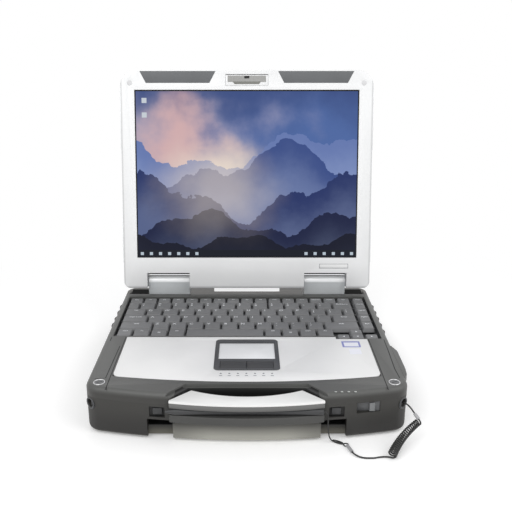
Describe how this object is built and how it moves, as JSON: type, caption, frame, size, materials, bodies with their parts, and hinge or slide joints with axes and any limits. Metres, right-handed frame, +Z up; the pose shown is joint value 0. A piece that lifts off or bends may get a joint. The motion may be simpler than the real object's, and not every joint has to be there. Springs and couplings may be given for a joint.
{
  "type": "rugged notebook computer",
  "caption": "Rugged clamshell notebook computer with a hinged display, keyboard, touchpad, sliding front carry handle, hinged port covers and a stylus on a curly tether.",
  "frame": {"origin": "on the table under the front edge of the keyboard, in the middle of the base's width", "axes": "+X to the user's right, +Y away from the user to the hinge side, +Z up from the table"},
  "size_m": [0.3144, 0.3445, 0.3154],
  "materials": {
    "case_grey": "matte dark grey magnesium shell with a fine texture",
    "deck_grey": "satin dark grey",
    "silver_paint": "satin silver paint",
    "silver_grey_paint": "satin blue-grey silver",
    "grip_rubber": "soft matte black",
    "foot_rubber": "matte",
    "key_plastic": "fine matte with pale legends",
    "dark_plastic": "matte",
    "antenna_plastic": "matte",
    "pad_plastic": "fine matte",
    "screen_glass": "anti-glare screen",
    "steel": "brushed",
    "aluminium": "bare",
    "board": "green solder mask",
    "cell_plastic": "matte",
    "cord": "smooth cord jacket"
  },
  "bodies": {
    "base": {"bottom_case": "case_grey", "deck_frame": "deck_grey", "palm_rest_plate": "silver_paint", "touchpad_bezel": "dark_plastic", "touchpad_surface": "pad_plastic", "keyboard_tray": "dark_plastic", "main_board": "board", "heat_sink": "aluminium", "memory_module": "board", "battery_pack": "cell_plastic", "drive_module": "aluminium", "media_bay_module": "steel", "rubber_feet": "foot_rubber", "deck_screw_caps": "steel", "floor_screws": "steel", "left_hinge_cover": "silver_grey_paint", "right_hinge_cover": "silver_grey_paint", "tether_bars": "steel", "rear_connectors": "steel", "side_ribs": "case_grey", "power_switch_plate": "silver_grey_paint", "tether_upper_lead": "cord", "tether_upper_sleeve": "aluminium", "tether_coil": "cord", "tether_lead": "cord"},
    "lid": {"lid_back_cover": "silver_paint", "lid_bezel": "silver_paint", "display_panel": "screen_glass", "left_antenna_cover": "antenna_plastic", "right_antenna_cover": "antenna_plastic", "latch_pin": "steel", "lid_bumpers": "foot_rubber", "badge_plate": "silver_paint", "hinge_pins": "steel", "lid_side_guards": "silver_grey_paint"},
    "handle": {"handle_grip": "grip_rubber", "handle_top_plate": "silver_paint", "handle_arms": "steel", "stylus": "dark_plastic", "stylus_string": "cord", "tether_lower_sleeve": "aluminium", "stylus_lead": "cord"},
    "battery_cover": {"battery_cover": "case_grey"},
    "media_bay_cover": {"media_bay_cover": "case_grey"},
    "rear_left_port_cover": {"rear_left_port_cover": "case_grey"},
    "rear_right_port_cover": {"rear_right_port_cover": "case_grey"},
    "lid_latch": {"lid_latch": "silver_grey_paint"},
    "touchpad_left_button": {"touchpad_left_button": "dark_plastic"},
    "touchpad_right_button": {"touchpad_right_button": "dark_plastic"},
    "power_switch_slider": {"power_switch_slider": "silver_grey_paint"},
    "function_row_keys": {"function_row_keys": "key_plastic"},
    "number_row_keys": {"number_row_keys": "key_plastic"},
    "upper_letter_keys": {"upper_letter_keys": "key_plastic"},
    "home_letter_keys": {"home_letter_keys": "key_plastic"},
    "lower_letter_keys": {"lower_letter_keys": "key_plastic"},
    "bottom_row_keys": {"bottom_row_keys": "key_plastic"},
    "space_bar": {"space_bar": "key_plastic"},
    "enter_key": {"enter_key": "key_plastic"},
    "side_column_keys": {"side_column_keys": "key_plastic"},
    "arrow_keys": {"arrow_keys": "key_plastic"}
  },
  "joints": [
    {"name": "lid_hinge", "type": "hinge", "parent": "base", "child": "lid", "pos_m": [0, 0.1285, 0.064], "axis": [-1, 0, 0], "range_deg": [-101.55, 78.45]},
    {"name": "latch_swing", "type": "hinge", "parent": "lid", "child": "lid_latch", "pos_m": [0, 0.1658, 0.30797], "axis": [-1, 0, 0], "range_deg": [0, 60], "stiffness_Nm_per_rad": 0.05},
    {"name": "handle_slide", "type": "slide", "parent": "base", "child": "handle", "axis": [0, -1, 0], "range_m": [0, 0.025]},
    {"name": "battery_cover_hinge", "type": "hinge", "parent": "base", "child": "battery_cover", "pos_m": [0.1495, 0, 0.0105], "axis": [0, 1, 0], "range_deg": [0, 90]},
    {"name": "media_bay_cover_hinge", "type": "hinge", "parent": "base", "child": "media_bay_cover", "pos_m": [-0.1495, 0, 0.0105], "axis": [0, -1, 0], "range_deg": [0, 90]},
    {"name": "rear_left_port_cover_hinge", "type": "hinge", "parent": "base", "child": "rear_left_port_cover", "pos_m": [0, 0.1535, 0.0145], "axis": [-1, 0, 0], "range_deg": [0, 90]},
    {"name": "rear_right_port_cover_hinge", "type": "hinge", "parent": "base", "child": "rear_right_port_cover", "pos_m": [0, 0.1535, 0.0145], "axis": [-1, 0, 0], "range_deg": [0, 90]},
    {"name": "touchpad_left_press", "type": "slide", "parent": "base", "child": "touchpad_left_button", "axis": [0, 0, -1], "range_m": [0, 0.0008], "stiffness_N_per_m": 600},
    {"name": "touchpad_right_press", "type": "slide", "parent": "base", "child": "touchpad_right_button", "axis": [0, 0, -1], "range_m": [0, 0.0008], "stiffness_N_per_m": 600},
    {"name": "power_switch_slide", "type": "slide", "parent": "base", "child": "power_switch_slider", "axis": [-1, 0, 0], "range_m": [0, 0.005], "stiffness_N_per_m": 150},
    {"name": "function_row_keys_press", "type": "slide", "parent": "base", "child": "function_row_keys", "axis": [0, 0, -1], "range_m": [0, 0.002], "stiffness_N_per_m": 3000},
    {"name": "number_row_keys_press", "type": "slide", "parent": "base", "child": "number_row_keys", "axis": [0, 0, -1], "range_m": [0, 0.002], "stiffness_N_per_m": 3000},
    {"name": "upper_letter_keys_press", "type": "slide", "parent": "base", "child": "upper_letter_keys", "axis": [0, 0, -1], "range_m": [0, 0.002], "stiffness_N_per_m": 3000},
    {"name": "home_letter_keys_press", "type": "slide", "parent": "base", "child": "home_letter_keys", "axis": [0, 0, -1], "range_m": [0, 0.002], "stiffness_N_per_m": 3000},
    {"name": "lower_letter_keys_press", "type": "slide", "parent": "base", "child": "lower_letter_keys", "axis": [0, 0, -1], "range_m": [0, 0.002], "stiffness_N_per_m": 3000},
    {"name": "bottom_row_keys_press", "type": "slide", "parent": "base", "child": "bottom_row_keys", "axis": [0, 0, -1], "range_m": [0, 0.002], "stiffness_N_per_m": 3000},
    {"name": "space_bar_press", "type": "slide", "parent": "base", "child": "space_bar", "axis": [0, 0, -1], "range_m": [0, 0.002], "stiffness_N_per_m": 400},
    {"name": "enter_key_press", "type": "slide", "parent": "base", "child": "enter_key", "axis": [0, 0, -1], "range_m": [0, 0.002], "stiffness_N_per_m": 400},
    {"name": "side_column_keys_press", "type": "slide", "parent": "base", "child": "side_column_keys", "axis": [0, 0, -1], "range_m": [0, 0.002], "stiffness_N_per_m": 3000},
    {"name": "arrow_keys_press", "type": "slide", "parent": "base", "child": "arrow_keys", "axis": [0, 0, -1], "range_m": [0, 0.002], "stiffness_N_per_m": 3000}
  ]
}
